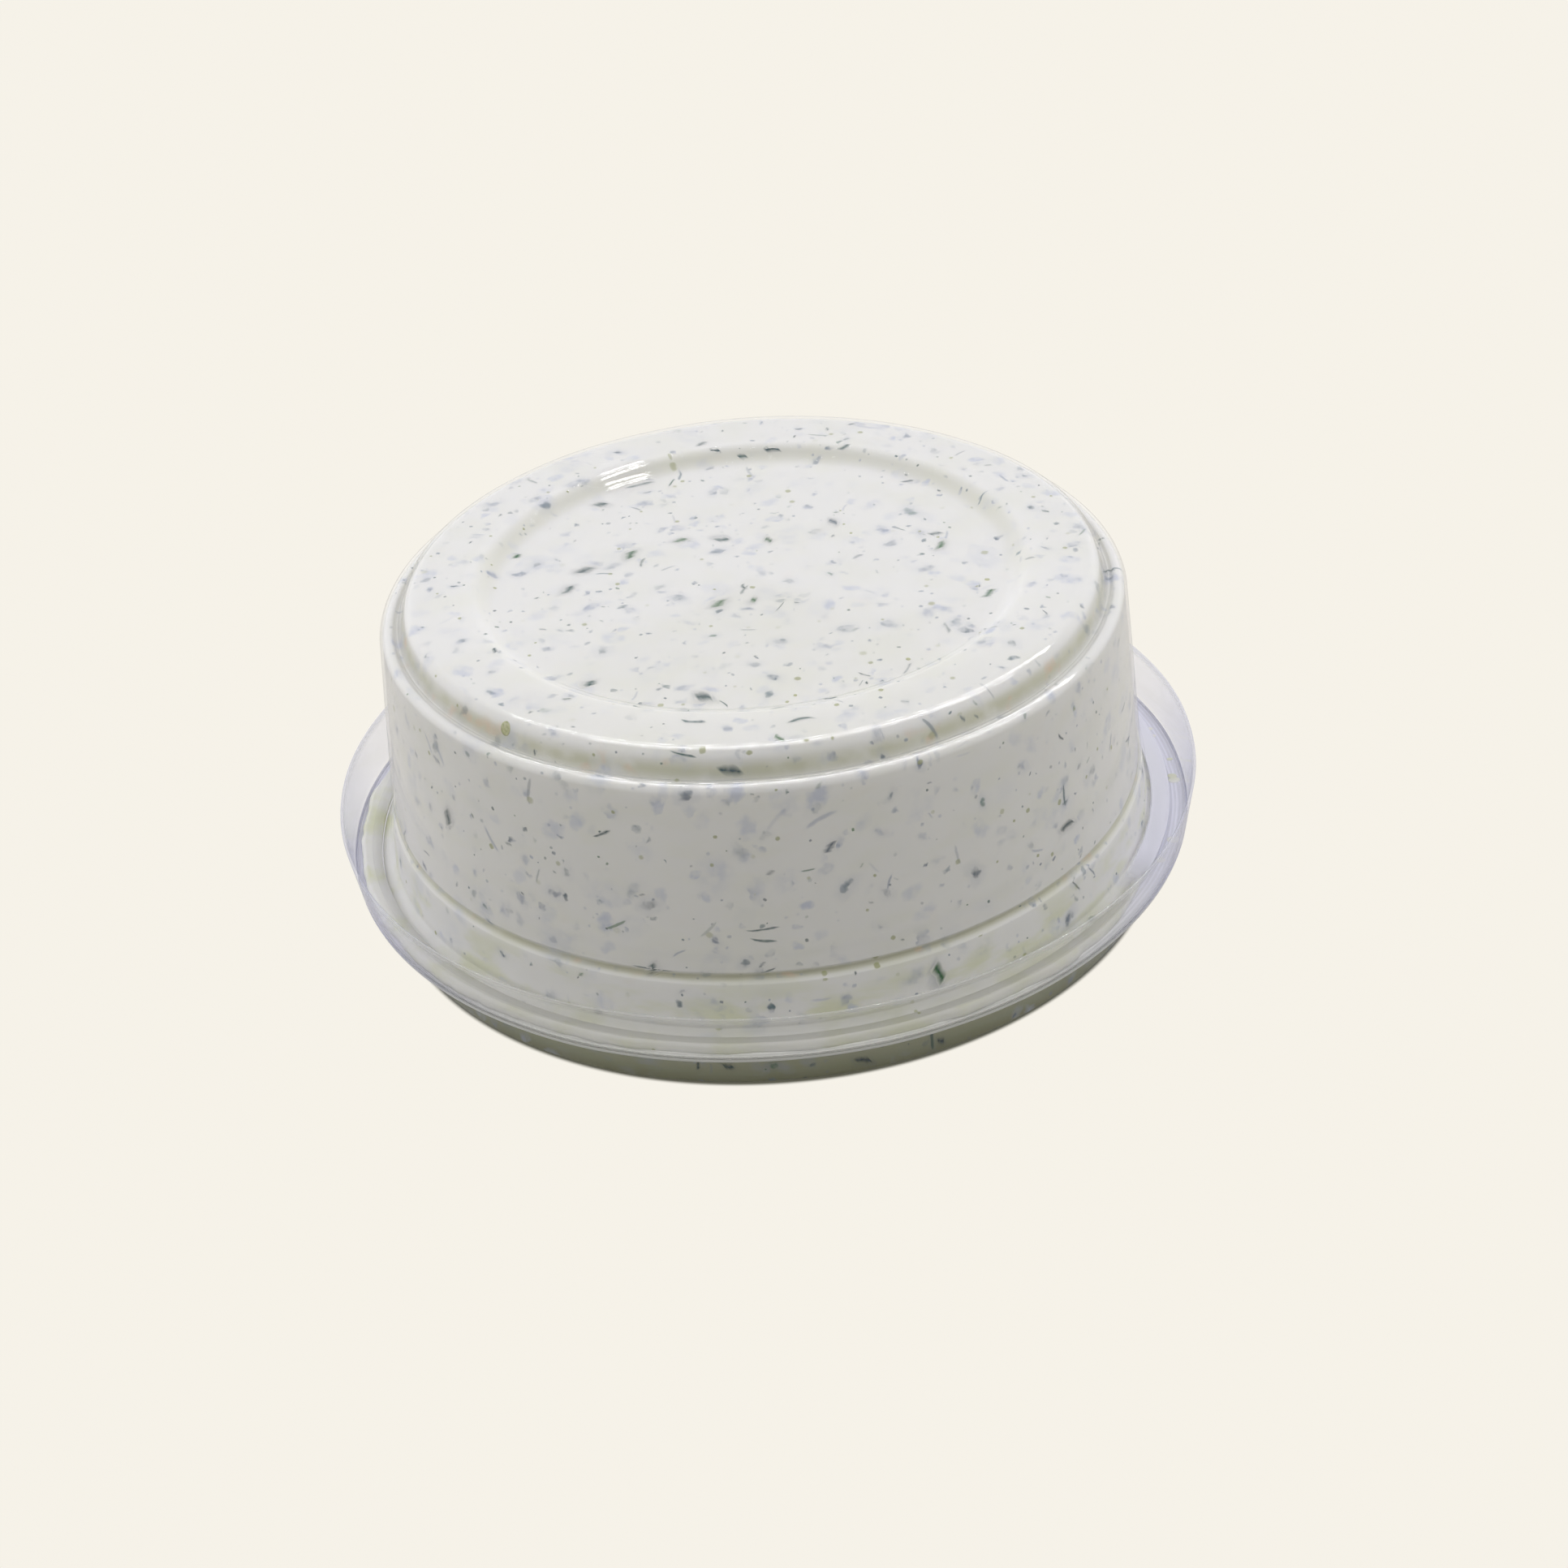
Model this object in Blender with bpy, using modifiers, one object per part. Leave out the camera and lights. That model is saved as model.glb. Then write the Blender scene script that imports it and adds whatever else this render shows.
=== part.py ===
"""A shaving soap puck in its clear tub, standing on the tub's snap lid.

Three pieces share one axis of revolution. The tub is upside down, so its base with the push-up recess
is at the top and its mouth is at the bottom. The lid closes the mouth from below, and its upturned
skirt goes round the tub's rim. The soap is cast in the tub and fills the lid's raised panel too.

The origin is the centre of the lid's flat resting face, and +Z points along the axis at the tub's base.
"""

import math

import bpy
from mathutils import Vector

MM = 0.001
COLLECTION = "shaving_soap_puck"

# Driving dimensions: everything else follows from these.
SHEET = 0.4 * MM  # the thermoformed clear sheet
GAP = 0.3 * MM  # clearance between neighbouring pieces
SHOULDER_R = 38.1 * MM  # the tub at the shoulder of its base
OVERALL_H = 34.4 * MM  # lid's resting face to the top of the tub's ring
SEGMENTS = 48  # facets round the axis
ARC_STEP = math.radians(31.0)  # largest turn between two points of a rounded corner
MERGE = 0.01 * MM  # points closer than this on the axis are one point

# The lid, from its resting face up.
PANEL_R = 41.3 * MM
PANEL_TOP_R = 41.9 * MM
FLANGE_Z = 5.4 * MM
FLANGE_R = 44.4 * MM
SKIRT_R = 45.3 * MM
SKIRT_Z = 10.9 * MM
PANEL_FILLET = 0.6 * MM
FLANGE_FILLET = 0.7 * MM

# The tub, from its rim up to its base.
RIM_R = 42.6 * MM
RIM_Z = FLANGE_Z + SHEET + GAP  # the rim's lower face
MOUTH_R = 40.6 * MM
STEP_Z = 11.8 * MM
STEP_R = 39.6 * MM
STEP_WIDTH = 0.6 * MM
STEP_DROP = 0.4 * MM
SHOULDER_Z = OVERALL_H - 2.3 * MM
SHOULDER_FILLET = 1.0 * MM
GROOVE_R = SHOULDER_R - 1.8 * MM
GROOVE_Z = OVERALL_H - 3.0 * MM
GROOVE_FILLET = 0.25 * MM
RING_FILLET = 2.2 * MM
RECESS_R = 28.0 * MM  # the recess at the ring's top
RECESS_FLOOR_R = 26.7 * MM
RECESS_DEPTH = 1.3 * MM
RECESS_FILLET = 2.0 * MM
SMALL_FILLET = 0.5 * MM

CLEAR_COLOUR = (0.86, 0.87, 0.94, 0.3)
SOAP_COLOUR = (0.84, 0.84, 0.79, 1.0)


def fillet_arc(before, corner, after, radius):
    """Points of the arc that rounds a corner between its two straight neighbours."""
    if radius == 0:
        return [corner]
    to_before = (before - corner).normalized()
    to_after = (after - corner).normalized()
    half = to_before.angle(to_after) / 2
    centre = corner + (to_before + to_after).normalized() * radius / math.sin(half)
    start = corner + to_before * radius / math.tan(half) - centre
    turn = math.pi - 2 * half
    clockwise = to_before.x * to_after.y - to_before.y * to_after.x > 0
    steps = math.ceil(turn / ARC_STEP)
    arc = []
    for i in range(steps + 1):
        angle = turn * i / steps * (-1 if clockwise else 1)
        c, s = math.cos(angle), math.sin(angle)
        arc.append(centre + Vector((start.x * c - start.y * s, start.x * s + start.y * c)))
    return arc


def rounded(corners):
    """The outline through a list of (radius, height, fillet) corners, with its fillets as arcs."""
    points = [Vector(c[:2]) for c in corners]
    outline = [points[0]]
    for i in range(1, len(points) - 1):
        outline += fillet_arc(points[i - 1], points[i], points[i + 1], corners[i][2])
    return outline + [points[-1]]


def inset(corners, depth):
    """The same corners moved depth into the material, which is on the right of the outline's way.

    A fillet round the material shrinks by depth and a fillet in a hollow grows by it."""
    points = [Vector(c[:2]) for c in corners]
    ways = [(b - a).normalized() for a, b in zip(points, points[1:])]
    sides = [Vector((w.y, -w.x)) for w in ways]
    moved = [(*(points[0] + sides[0] * depth), 0)]
    for i in range(1, len(points) - 1):
        bisector = sides[i - 1] + sides[i]
        point = points[i] + bisector * depth / (1 + sides[i - 1].dot(sides[i]))
        outer = ways[i - 1].x * ways[i].y - ways[i - 1].y * ways[i].x < 0
        fillet = corners[i][2]
        if fillet:
            fillet = max(fillet - depth, 0) if outer else fillet + depth
        moved.append((*point, fillet))
    return moved + [(*(points[-1] + sides[-1] * depth), 0)]


def tub_corners():
    """The tub's outer side, from the middle of its base down to the edge of its rim."""
    return [
        (0, OVERALL_H - RECESS_DEPTH, 0),
        (RECESS_FLOOR_R, OVERALL_H - RECESS_DEPTH, RECESS_FILLET),
        (RECESS_R, OVERALL_H, RECESS_FILLET),
        (GROOVE_R, OVERALL_H, RING_FILLET),
        (GROOVE_R, GROOVE_Z, GROOVE_FILLET),
        (SHOULDER_R, SHOULDER_Z, SHOULDER_FILLET),
        (STEP_R, STEP_Z, 0),
        (STEP_R + STEP_WIDTH, STEP_Z - STEP_DROP, SMALL_FILLET),
        (MOUTH_R, RIM_Z + SHEET, SMALL_FILLET),
        (RIM_R, RIM_Z + SHEET, 0),
    ]


def lid_corners():
    """The lid's outer side, from the free edge of its skirt down to the middle of its resting face."""
    return [
        (SKIRT_R, SKIRT_Z, 0),
        (FLANGE_R, FLANGE_Z, FLANGE_FILLET),
        (PANEL_TOP_R, FLANGE_Z, SMALL_FILLET),
        (PANEL_R, 0, PANEL_FILLET),
        (0, 0, 0),
    ]


def soap_corners():
    """The soap's side: the tub's inner side down to the mouth, then the inner side of the lid's panel."""
    in_tub = inset(tub_corners(), SHEET + GAP)[:-2]
    in_lid = inset(lid_corners(), SHEET + GAP)[-2:]
    mouth_r = MOUTH_R - SHEET - GAP
    panel_r = PANEL_TOP_R - SHEET - GAP
    return in_tub + [(mouth_r, RIM_Z, 0), (panel_r, FLANGE_Z, 0)] + in_lid


def new_material(name, colour, roughness):
    material = bpy.data.materials.new(name)
    material.use_nodes = True
    shader = material.node_tree.nodes["Principled BSDF"]
    shader.inputs["Base Color"].default_value = (*colour[:3], 1.0)
    shader.inputs["Alpha"].default_value = colour[3]
    shader.inputs["Roughness"].default_value = roughness
    shader.inputs["Metallic"].default_value = 0.0
    material.diffuse_color = colour
    return material


def turned(name, corners, seat_z, parent, material):
    """A surface turned round the Z axis, with the object's origin on that axis at height seat_z."""
    outline = rounded(corners)
    mesh = bpy.data.meshes.new(name)
    points = [(p.x, 0.0, p.y - seat_z) for p in outline]
    mesh.from_pydata(points, [(i, i + 1) for i in range(len(points) - 1)], [])
    mesh.materials.append(material)
    piece = bpy.data.objects.new(name, mesh)
    parent.users_collection[0].objects.link(piece)
    piece.parent = parent
    piece.location.z = seat_z
    screw = piece.modifiers.new("Turn", "SCREW")
    screw.axis = "Z"
    screw.steps = SEGMENTS
    screw.render_steps = SEGMENTS
    screw.use_merge_vertices = True
    screw.merge_threshold = MERGE
    screw.use_smooth_shade = True
    return piece


def thicken(piece):
    """Gives a turned surface the sheet's thickness, inwards from its outer side."""
    solidify = piece.modifiers.new("Sheet", "SOLIDIFY")
    solidify.thickness = SHEET
    solidify.offset = -1.0
    solidify.use_even_offset = True


def build():
    for old in list(bpy.data.objects):
        bpy.data.objects.remove(old)
    collection = bpy.data.collections.new(COLLECTION)
    bpy.context.scene.collection.children.link(collection)
    root = bpy.data.objects.new("puck_root", None)
    collection.objects.link(root)

    thicken(turned("lid", lid_corners(), 0.0, root, new_material("lid_clear", CLEAR_COLOUR, 0.12)))
    soap_seat = SHEET + GAP
    turned("soap_puck", soap_corners(), soap_seat, root, new_material("soap", SOAP_COLOUR, 0.45))
    thicken(turned("tub", tub_corners(), RIM_Z, root, new_material("tub_clear", CLEAR_COLOUR, 0.08)))


build()
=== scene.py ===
"""The looks of a shaving soap puck in its clear snap-lid tub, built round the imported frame."""

import math
import random

import bpy
import numpy as np
from mathutils import Matrix, Vector, noise


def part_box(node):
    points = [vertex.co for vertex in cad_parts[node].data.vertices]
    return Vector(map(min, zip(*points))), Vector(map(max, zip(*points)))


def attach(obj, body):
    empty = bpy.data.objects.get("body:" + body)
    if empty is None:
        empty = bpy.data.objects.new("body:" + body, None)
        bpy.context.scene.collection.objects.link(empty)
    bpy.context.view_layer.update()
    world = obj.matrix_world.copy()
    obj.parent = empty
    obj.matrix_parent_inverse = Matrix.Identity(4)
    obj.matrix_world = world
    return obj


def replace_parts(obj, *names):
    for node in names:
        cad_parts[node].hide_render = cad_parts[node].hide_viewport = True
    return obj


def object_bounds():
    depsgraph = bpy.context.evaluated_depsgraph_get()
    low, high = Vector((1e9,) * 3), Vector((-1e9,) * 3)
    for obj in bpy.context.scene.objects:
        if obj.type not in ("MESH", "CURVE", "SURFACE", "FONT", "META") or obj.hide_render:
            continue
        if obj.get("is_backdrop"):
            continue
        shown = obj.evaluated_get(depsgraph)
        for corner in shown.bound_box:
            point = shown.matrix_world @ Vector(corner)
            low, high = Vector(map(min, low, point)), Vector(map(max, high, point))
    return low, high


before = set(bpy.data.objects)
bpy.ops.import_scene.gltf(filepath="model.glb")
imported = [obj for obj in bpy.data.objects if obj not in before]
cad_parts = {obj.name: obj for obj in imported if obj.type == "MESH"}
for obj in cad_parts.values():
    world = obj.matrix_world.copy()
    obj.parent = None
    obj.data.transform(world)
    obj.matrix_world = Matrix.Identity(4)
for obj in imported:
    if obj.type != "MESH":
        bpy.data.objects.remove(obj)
CAD_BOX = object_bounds()

MM = 0.001
SEGMENTS = 288  # facets round the axis of the large pieces
ARC_STEP = math.radians(11.0)  # largest turn between two points of a rounded corner
LONGEST = 1.2 * MM  # longest straight run between two points of an outline

# Levels and radii of the CAD pieces.
TUB_LOW, TUB_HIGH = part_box("tub")
LID_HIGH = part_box("lid")[1]
TOP = TUB_HIGH.z
RIM_R = TUB_HIGH.x
RIM_Z = TUB_LOW.z
SKIRT_R = LID_HIGH.x
SKIRT_TOP = LID_HIGH.z

# The clear sheet, the soap that clings to its inner side, and the bits in the soap's skin.
SHEET = 0.3 * MM
PANEL_SHEET = 0.12 * MM  # the lid's sheet where it is drawn deepest
CLING = 0.02 * MM  # the gap between the sheet and the soap
UNEVENNESS = 0.06  # how far a point is moved from the perfect shape, in mm
NOISE_SEED = 3
BIT_PROUD = 0.012 * MM
BIT_SUNK = 0.1 * MM
SECTION_OF_BIT = (  # side and height, round a bit's section
    (-1, BIT_PROUD),
    (0, BIT_PROUD),
    (1, BIT_PROUD),
    (1, -BIT_SUNK),
    (-1, -BIT_SUNK),
)

# The tub's shape, as in the CAD, with its small features drawn finer.
RECESS_DEPTH = 1.3 * MM
RECESS_FLOOR_R = 26.7 * MM
RECESS_R = 28.0 * MM
RECESS_FILLET = 2.0 * MM
RING_R = 34.75 * MM
RING_SIDE_R = 35.6 * MM
RING_SIDE_Z = TOP - 0.65 * MM
GROOVE_R = 36.3 * MM
GROOVE_Z = TOP - 3.0 * MM
BEAD_R = 36.65 * MM
BEAD_Z = TOP - 2.45 * MM
SHOULDER_R = 38.1 * MM
CREASE_R = 39.6 * MM
CREASE_Z = 11.8 * MM
CREASE_DEPTH = 0.2 * MM
BAND_R = 40.0 * MM
BAND_Z = 10.95 * MM
MOUTH_R = 40.6 * MM

# The lid's shape.
FLANGE_R = 44.4 * MM
FLANGE_Z = 5.15 * MM  # 0.25 mm lower than in the CAD
PANEL_TOP_R = 41.9 * MM
PANEL_R = 41.3 * MM
LIP_H = 0.7 * MM  # the thickened free edge of the skirt
LIP_OUT = 0.05 * MM

# Soap that has crept out between the tub's rim and the lid's flange.
CREPT_FROM = math.radians(-212.0)
CREPT_TO = math.radians(-28.0)
CREPT_R = 43.35 * MM
CREPT_MORE = 0.45 * MM  # how much farther it reaches at the sides
CREPT_WAVE = 0.3 * MM  # how ragged its edge is
CREPT_H = 0.35 * MM
CREPT_STEPS = 360

# Bits of herb. The large ones have their own places, and the others are scattered over the skin.
STRETCH = 1.2  # a large bit's length and width, as drawn, over those in its table
SPREAD = 1.6
SOFT_SPREAD = 2.8  # the same for a soft bit, and for the halo round it
HALO_STRETCH = 1.7
HALO_SPREAD = 4
HALO_TONE = 0.5
HALO_VEIL = 0.7
SLIVER_WIDTH = 0.32  # in mm, as the next two: wider bits are soft, where they lie on the recess's
FLOOR_UP_TO = 25  # floor, up to this radius,
WALL_FROM = 37.6  # or on the wall, from this radius on
SCATTERED = (  # count, shortest and longest, narrowest and widest as shares of the length
    (20, (1.1 * MM, 2.3 * MM), (0.14, 0.3)),
    (70, (0.8 * MM, 1.6 * MM), (0.45, 0.8)),
    (200, (0.3 * MM, 0.7 * MM), (0.5, 0.9)),
)
INCLUSIONS = (
    # bits in the soap's material: cell, length, width (in mm), share, crisp, bend, strength, halo
    (6.8, 4.2, 2.8, 0.60, 0.0, 0.0, 0.45, 0.0),
    (3.7, 2.3, 1.6, 0.70, 0.0, 0.0, 0.85, 0.0),
    (3.3, 1.4, 0.9, 0.60, 0.0, 0.2, 0.95, 0.2),
    (4.6, 2.2, 0.28, 0.25, 0.3, 0.6, 0.9, 0.16),
    (2.5, 0.8, 0.55, 0.55, 0.0, 0.0, 1.0, 0.0),
    (1.8, 0.34, 0.28, 0.40, 0.2, 0.0, 0.9, 0.0),
)
SMUDGE_STRENGTH = 0.85  # layers up to this strength are smudges, and the stronger ones are herbs

# Colours, linear.
BACKDROP = (0.921, 0.887, 0.811)
SOAP_WHITE = (0.885, 0.88, 0.856)
SOAP_YELLOW = (0.74, 0.76, 0.52)
# painted shade: darkens the recess's far wall, the ring's foot by the bead, the crease and the ledge
OLIVE_SHADE = (0.56, 0.56, 0.38)
# painted shade: browner along the crease, most on the front
CREASE_SHADE_BROWN = (0.40, 0.39, 0.28)
# painted shade: greyer soap at the tub's mouth, most on the front
MOUTH_SHADE_GREY = (0.48, 0.48, 0.42)
# painted shade: darker soap at the foot, towards the floor
FOOT_SHADE_OLIVE = (0.215, 0.22, 0.115)
SOAP_STAIN = (0.80, 0.52, 0.36)
BLOTCH_BLUE = (0.32, 0.37, 0.52)
SMUDGE_BLUE = (0.56, 0.60, 0.72)
HERB_SLATE = (0.03, 0.06, 0.07)
HERB_TEAL = (0.03, 0.11, 0.095)
HERB_GREEN = (0.05, 0.19, 0.04)
HERB_GREY = (0.16, 0.19, 0.27)
SEED_OLIVE = (0.36, 0.38, 0.16)
CLEAR_NEAR = (0.985, 0.985, 0.99)  # what the sheet lets through, looking straight at it
LID_SLANT = (0.87, 0.885, 0.99)  # and along it
TUB_SLANT = (0.98, 0.98, 0.985)
CLEAR_HAZE = (0.90, 0.90, 1.0)
FRONT_SLANT = (0.93, 0.93, 0.92)
FRONT_HAZE = (0.93, 0.93, 0.91)
# painted shadow on the floor under the lid's panel
PAINTED_CONTACT_SHADOW = (0.10, 0.10, 0.07)
# painted shade: the floor's colour near the puck, for the light it throws on the puck
FLOOR_SHADE_NEAR = (0.08, 0.08, 0.055)
FLOOR_FAR = (0.36, 0.35, 0.31)

# How the clear sheets shine.
HEAD_ON = 0.03  # the mirrored share, looking straight at the sheet
GRAZING = 0.55  # and along it
EDGE_SHINE = 0.8  # how much more the clear sheet shines where it is drawn over an edge
STRETCH_SHINE = 2.5  # and how much more than an edge the shiny stretch of the recess's wall does
SHINY_WAY = (math.cos(math.radians(118)), math.sin(math.radians(118)), 0)  # towards that stretch

# The studio light's level towards the camera's side and the far side, and what is added to it at the
# sides, straight above and in mirrors.
LIGHT_FRONT = 0.13
LIGHT_FAR = 1.04
LIGHT_SIDES = 0.73
LIGHT_ABOVE = 0.13
LIGHT_MIRRORED = 0.25

# The strips of lamps over the puck, in metres, watts and degrees.
STRIP_LAMPS = 31
STRIP_WIDTH = 0.034
STRIP_POWER = 1.8
STRIP_AWAY = 0.55
STRIP_ENDS = (-0.25, 0.62)
STRIP_LEANS = (30, 6)
LAMP_LEVEL = 2.0
GAP_LEVEL = 0.03


# Outlines: lists of (radius, height, fillet) corners, from which points are worked out.


def fillet_arc(before, corner, after, radius):
    """Points of the arc that rounds a corner between its two straight neighbours."""
    if radius == 0:
        return [corner]
    to_before = (before - corner).normalized()
    to_after = (after - corner).normalized()
    half = to_before.angle(to_after) / 2
    centre = corner + (to_before + to_after).normalized() * radius / math.sin(half)
    start = corner + to_before * radius / math.tan(half) - centre
    turn = math.pi - 2 * half
    clockwise = to_before.x * to_after.y - to_before.y * to_after.x > 0
    steps = max(1, math.ceil(turn / ARC_STEP))
    return [
        centre + start @ Matrix.Rotation(turn * i / steps * (1 if clockwise else -1), 2)
        for i in range(steps + 1)
    ]


def rounded(corners):
    """The outline through the corners, with its fillets as arcs."""
    points = [Vector(c[:2]) for c in corners]
    outline = [points[0]]
    for i in range(1, len(points) - 1):
        outline += fillet_arc(points[i - 1], points[i], points[i + 1], corners[i][2])
    return outline + [points[-1]]


def inset(corners, depth):
    """The corners moved depth into the material, which is on the right of the outline's way."""
    points = [Vector(c[:2]) for c in corners]
    ways = [(b - a).normalized() for a, b in zip(points, points[1:])]
    sides = [Vector((w.y, -w.x)) for w in ways]
    moved = [(*(points[0] + sides[0] * depth), 0)]
    for i in range(1, len(points) - 1):
        bisector = sides[i - 1] + sides[i]
        point = points[i] + bisector * depth / (1 + sides[i - 1].dot(sides[i]))
        outer = ways[i - 1].x * ways[i].y - ways[i - 1].y * ways[i].x < 0
        fillet = corners[i][2]
        if fillet:
            fillet = max(fillet - depth, 0) if outer else fillet + depth
        moved.append((*point, fillet))
    return moved + [(*(points[-1] + sides[-1] * depth), 0)]


def half_round(start, end):
    """Points of the half circle from start to end that rounds a sheet's free edge."""
    middle = (start + end) / 2
    arm = start - middle
    steps = 6
    return [middle + arm @ Matrix.Rotation(math.pi * i / steps, 2) for i in range(1, steps)]


def spaced(outline):
    """The outline with its long straight runs cut into runs of at most LONGEST."""
    points = [outline[0]]
    for a, b in zip(outline, outline[1:]):
        cuts = max(1, math.ceil((b - a).length / LONGEST))
        points += [a.lerp(b, i / cuts) for i in range(1, cuts + 1)]
    return points


def tub_corners():
    """The tub's outer side, from the middle of its base down to the edge of its rim."""
    return [
        (0, TOP - RECESS_DEPTH, 0),
        (RECESS_FLOOR_R, TOP - RECESS_DEPTH, RECESS_FILLET),
        (RECESS_R, TOP, RECESS_FILLET),
        (RING_R, TOP, 1.2 * MM),
        (RING_SIDE_R, RING_SIDE_Z, 2.0 * MM),
        (GROOVE_R, GROOVE_Z, 0.1 * MM),
        (BEAD_R, BEAD_Z, 0.3 * MM),
        (SHOULDER_R, BEAD_Z, 1.15 * MM),
        (CREASE_R, CREASE_Z, 0.35 * MM),
        (CREASE_R - CREASE_DEPTH, CREASE_Z - CREASE_DEPTH, 0.08 * MM),
        (BAND_R, BAND_Z, 0.7 * MM),
        (MOUTH_R, RIM_Z + SHEET, 0.4 * MM),
        (RIM_R - SHEET / 2, RIM_Z + SHEET, 0),
    ]


def lid_corners():
    """The lid's outer side, from the free edge of its skirt down to the middle of its resting face."""
    lean = (SKIRT_R - FLANGE_R) / (SKIRT_TOP - FLANGE_Z)
    lip_top = SKIRT_TOP - SHEET / 2
    lip_r = FLANGE_R + lean * (lip_top - FLANGE_Z)
    return [
        (lip_r, lip_top, 0),
        (lip_r - lean * LIP_H, lip_top - LIP_H, 0.1 * MM),
        (lip_r - lean * LIP_H - LIP_OUT, lip_top - 1.5 * LIP_H, 0.1 * MM),
        (FLANGE_R, FLANGE_Z, 0.25 * MM),
        (PANEL_TOP_R, FLANGE_Z, 0.3 * MM),
        (PANEL_R, 0, 0.45 * MM),
        (0, 0, 0),
    ]


def lid_inner_corners():
    """The lid's inner side, where the sheet thins from the flange down into the panel."""
    return inset(lid_corners(), SHEET)[:-2] + inset(lid_corners(), PANEL_SHEET)[-2:]


def soap_outline():
    """The soap's skin: just inside the tub down to its mouth, then just inside the lid's panel."""
    in_tub = inset(tub_corners(), SHEET + CLING)[:-2]
    in_lid = inset(lid_corners(), PANEL_SHEET + CLING)[-2:]
    mouth = (MOUTH_R - SHEET - CLING, RIM_Z, 0.2 * MM)
    panel = (PANEL_TOP_R - SHEET - CLING, FLANGE_Z + SHEET, 0.1 * MM)
    return spaced(rounded(in_tub + [mouth, panel] + in_lid))


def sheet_section(outer_corners, inner_corners, from_axis):
    """The closed section of a thermoformed sheet, clockwise from the axis back to the axis."""
    outer = spaced(rounded(outer_corners))
    inner = spaced(rounded(inner_corners))
    if from_axis:
        return outer + half_round(outer[-1], inner[-1]) + inner[::-1]
    return inner[::-1] + half_round(inner[0], outer[0]) + outer


# Turned meshes.


def turned_mesh(name, section):
    """A closed mesh of a clockwise section that starts and ends on the Z axis."""
    ring = section[1:-1]
    angles = [math.tau * i / SEGMENTS for i in range(SEGMENTS)]
    verts = [(0.0, 0.0, section[0].y)]
    verts += [(p.x * math.cos(a), p.x * math.sin(a), p.y) for p in ring for a in angles]
    verts.append((0.0, 0.0, section[-1].y))
    last = len(verts) - 1
    faces = []
    for j in range(SEGMENTS):
        k = (j + 1) % SEGMENTS
        faces.append((0, 1 + j, 1 + k))
        for i in range(len(ring) - 1):
            a, b = 1 + i * SEGMENTS, 1 + (i + 1) * SEGMENTS
            faces.append((a + j, b + j, b + k, a + k))
        end = 1 + (len(ring) - 1) * SEGMENTS
        faces.append((end + j, last, end + k))
    mesh = bpy.data.meshes.new(name)
    mesh.from_pydata(verts, [], faces)
    mesh.shade_smooth()
    return mesh


def uneven(mesh):
    """Moves the mesh's points by one smooth field, so that neighbouring pieces keep their gap."""
    noise.seed_set(NOISE_SEED)
    for v in mesh.vertices:
        v.co += noise.noise_vector(v.co / (11 * MM)) * UNEVENNESS * MM


def new_piece(name, mesh, material, body):
    """A piece of the object, riding on a body and taking its finish from a slot."""
    uneven(mesh)
    mesh.materials.append(material)
    piece = bpy.data.objects.new(name, mesh)
    bpy.context.scene.collection.objects.link(piece)
    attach(piece, body)
    return piece


# Materials.


def add(tree, kind, inputs=None, **settings):
    """A new shader node with its settings; inputs are values or other nodes' outputs."""
    node = tree.nodes.new("ShaderNode" + kind)
    for name, value in settings.items():
        setattr(node, name, value)
    for key, value in (inputs or {}).items():
        if isinstance(value, bpy.types.NodeSocket):
            tree.links.new(value, node.inputs[key])
        else:
            node.inputs[key].default_value = value
    return node


def maths(tree, operation, a, b=0.5, c=0.5):
    return add(tree, "Math", {0: a, 1: b, 2: c}, operation=operation).outputs[0]


def times(tree, *values):
    """The product of two or more values."""
    product = values[0]
    for value in values[1:]:
        product = maths(tree, "MULTIPLY", product, value)
    return product


def vector(tree, operation, a, b=(0, 0, 0), out=0, **inputs):
    return add(tree, "VectorMath", {0: a, 1: b, **inputs}, operation=operation).outputs[out]


def dot(tree, a, b):
    return vector(tree, "DOT_PRODUCT", a, b, out="Value")


def remap(tree, value, low, high, to_low=0.0, to_high=1.0, smooth=True):
    kind = "SMOOTHSTEP" if smooth else "LINEAR"
    inputs = {"Value": value, 1: low, 2: high, 3: to_low, 4: to_high}
    return add(tree, "MapRange", inputs, interpolation_type=kind).outputs[0]


def near_level(tree, value, level, reach):
    """1 where the value is at the level, falling to 0 at reach from it."""
    off = maths(tree, "ABSOLUTE", maths(tree, "SUBTRACT", value, level))
    return remap(tree, off, reach, 0.0)


def rgb(colour):
    return (*colour, 1.0)


def mixed(tree, factor, a, b):
    """Colour a where factor is 0 and colour b where it is 1."""
    node = add(tree, "Mix", {0: factor}, data_type="RGBA")
    for socket, value in ((6, a), (7, b)):
        if isinstance(value, bpy.types.NodeSocket):
            tree.links.new(value, node.inputs[socket])
        else:
            node.inputs[socket].default_value = rgb(value)
    return node.outputs[2]


def new_material(name):
    """A material with only an output node, its tree and a function that sets its surface."""
    material = bpy.data.materials.new(name)
    material.use_nodes = True
    tree = material.node_tree
    tree.nodes.clear()
    output = add(tree, "OutputMaterial")

    def finish(shader):
        tree.links.new(shader.outputs[0], output.inputs["Surface"])
        return material

    return tree, finish


def noise_value(tree, coords, size, detail=2.0):
    inputs = {"Vector": coords, "Scale": 1.0 / size, "Detail": detail}
    return add(tree, "TexNoise", inputs).outputs["Fac"]


def height_of(tree, coords):
    return add(tree, "SeparateXYZ", {0: coords}).outputs["Z"]


def radius_of(tree, coords):
    return vector(tree, "LENGTH", vector(tree, "MULTIPLY", coords, (1, 1, 0)), out="Value")


def way_of(tree, coords):
    """The level unit vector from the axis towards the point."""
    return vector(tree, "NORMALIZE", vector(tree, "MULTIPLY", coords, (1, 1, 0)))


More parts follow.
